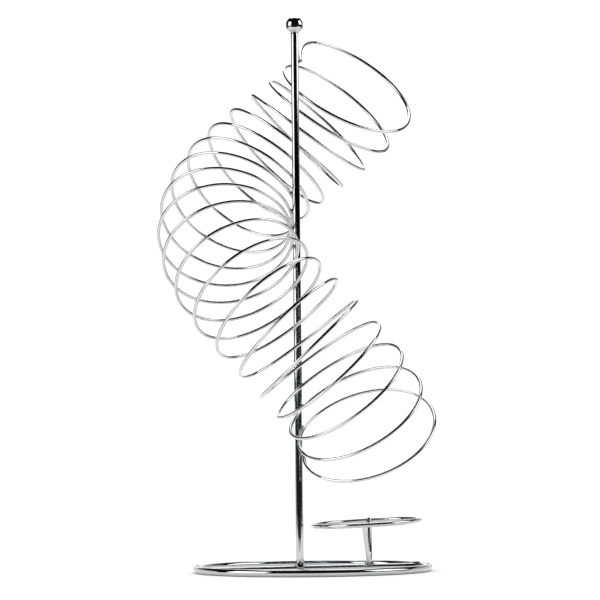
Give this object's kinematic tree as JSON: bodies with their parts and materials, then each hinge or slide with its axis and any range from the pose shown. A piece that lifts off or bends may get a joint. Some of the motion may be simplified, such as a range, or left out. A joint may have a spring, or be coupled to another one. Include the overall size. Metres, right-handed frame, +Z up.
{
  "type": "fruit spiral stand",
  "caption": "Free-standing chromed wire fruit spiral: a coil wound round a post on a ring base, with a catch ring under its lower end.",
  "frame": {"origin": "on the table, under the middle of the object's box; the post stands close to it", "axes": "+Z up along the post, +X along the base's crossbar towards the catch ring"},
  "size_m": [0.1978, 0.2028, 0.4011],
  "materials": {
    "chrome_rod": "bright chrome plate on steel rod",
    "chrome_wire": "bright chrome plate on steel wire",
    "chrome_ball": "bright chrome plate on a turned ball",
    "weld": "plated weld metal, slightly rough"
  },
  "bodies": {
    "root": {"base_ring": "chrome_rod", "base_crossbar": "chrome_rod", "post": "chrome_rod", "ball_finial": "chrome_ball", "catch_ring": "chrome_rod", "catch_ring_support": "chrome_wire", "coil_turn_01": "chrome_wire", "coil_turn_02": "chrome_wire", "coil_turn_03": "chrome_wire", "coil_turn_04": "chrome_wire", "coil_turn_05": "chrome_wire", "coil_turn_06": "chrome_wire", "coil_turn_07": "chrome_wire", "coil_turn_08": "chrome_wire", "coil_turn_09": "chrome_wire", "coil_turn_10": "chrome_wire", "coil_turn_11": "chrome_wire", "coil_turn_12": "chrome_wire", "coil_turn_13": "chrome_wire", "coil_turn_14": "chrome_wire", "coil_turn_15": "chrome_wire", "coil_turn_16": "chrome_wire", "coil_turn_17": "chrome_wire", "coil_turn_18": "chrome_wire", "coil_turn_19": "chrome_wire", "coil_turn_20": "chrome_wire", "crossbar_weld_left": "weld", "crossbar_weld_right": "weld", "post_foot_weld": "weld", "support_foot_weld": "weld", "catch_ring_weld_front": "weld", "catch_ring_weld_back": "weld", "coil_weld_00": "weld", "coil_weld_01": "weld", "coil_weld_02": "weld", "coil_weld_03": "weld", "coil_weld_04": "weld", "coil_weld_05": "weld", "coil_weld_06": "weld", "coil_weld_07": "weld", "coil_weld_08": "weld", "coil_weld_09": "weld", "coil_weld_10": "weld", "coil_weld_11": "weld", "coil_weld_12": "weld", "coil_weld_13": "weld", "coil_weld_14": "weld", "coil_weld_15": "weld", "coil_weld_16": "weld", "coil_weld_17": "weld", "coil_weld_18": "weld", "coil_weld_19": "weld", "coil_weld_20": "weld"}
  },
  "joints": []
}
